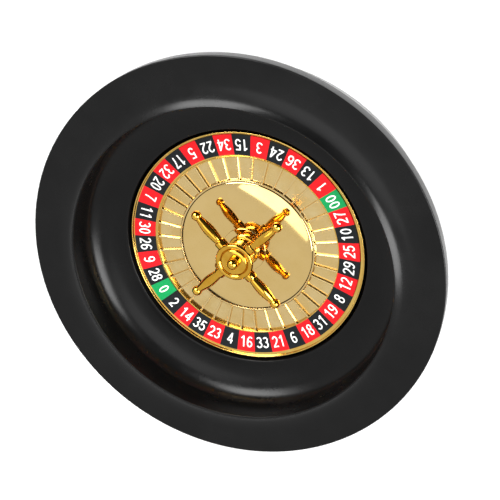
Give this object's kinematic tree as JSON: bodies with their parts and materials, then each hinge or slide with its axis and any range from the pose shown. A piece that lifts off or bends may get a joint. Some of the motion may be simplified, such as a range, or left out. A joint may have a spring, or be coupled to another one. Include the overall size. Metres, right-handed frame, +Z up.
{
  "type": "roulette wheel",
  "caption": "Tabletop roulette wheel: a black moulded bowl with a gold rotor that spins on a spindle, with a number ring, pockets, a domed centre and a four-armed turret.",
  "frame": {"origin": "on the table, under the spindle's axis", "axes": "+Z up along the spindle; +X and +Y along two of the turret's arms at rest"},
  "size_m": [0.3048, 0.3048, 0.0564],
  "materials": {
    "black_moulding": "satin-gloss black moulded plastic",
    "gold_plating": "vacuum-metallised gold on moulded plastic, polished",
    "dome_mirror": "pale gold mirror on moulded plastic",
    "printed_film": "printed film in red, black and green with pale numbers",
    "spindle_steel": "turned steel",
    "bush_brass": "turned brass",
    "washer_nylon": "natural nylon",
    "foot_rubber": "matt black rubber"
  },
  "bodies": {
    "bowl": {"bowl_shell": "black_moulding", "rubber_foot_1": "foot_rubber", "rubber_foot_2": "foot_rubber", "rubber_foot_3": "foot_rubber", "rubber_foot_4": "foot_rubber", "spindle": "spindle_steel", "spindle_washer": "spindle_steel", "spindle_nut": "spindle_steel", "thrust_washer": "washer_nylon", "spindle_top_nut": "spindle_steel"},
    "rotor": {"bearing_bush": "bush_brass", "rotor_pan": "gold_plating", "rotor_rim": "gold_plating", "number_ring": "printed_film", "fret_01": "gold_plating", "fret_02": "gold_plating", "fret_03": "gold_plating", "fret_04": "gold_plating", "fret_05": "gold_plating", "fret_06": "gold_plating", "fret_07": "gold_plating", "fret_08": "gold_plating", "fret_09": "gold_plating", "fret_10": "gold_plating", "fret_11": "gold_plating", "fret_12": "gold_plating", "fret_13": "gold_plating", "fret_14": "gold_plating", "fret_15": "gold_plating", "fret_16": "gold_plating", "fret_17": "gold_plating", "fret_18": "gold_plating", "fret_19": "gold_plating", "fret_20": "gold_plating", "fret_21": "gold_plating", "fret_22": "gold_plating", "fret_23": "gold_plating", "fret_24": "gold_plating", "fret_25": "gold_plating", "fret_26": "gold_plating", "fret_27": "gold_plating", "fret_28": "gold_plating", "fret_29": "gold_plating", "fret_30": "gold_plating", "fret_31": "gold_plating", "fret_32": "gold_plating", "fret_33": "gold_plating", "fret_34": "gold_plating", "fret_35": "gold_plating", "fret_36": "gold_plating", "fret_37": "gold_plating", "fret_38": "gold_plating", "centre_dome": "dome_mirror", "turret_post": "gold_plating", "turret_hub": "gold_plating", "turret_finial": "gold_plating", "turret_arm_1": "gold_plating", "turret_arm_2": "gold_plating", "turret_arm_3": "gold_plating", "turret_arm_4": "gold_plating"}
  },
  "joints": [
    {"name": "rotor_spin", "type": "hinge", "parent": "bowl", "child": "rotor", "pos_m": [0, 0, 0.0156], "axis": [0, 0, 1], "continuous": true}
  ]
}
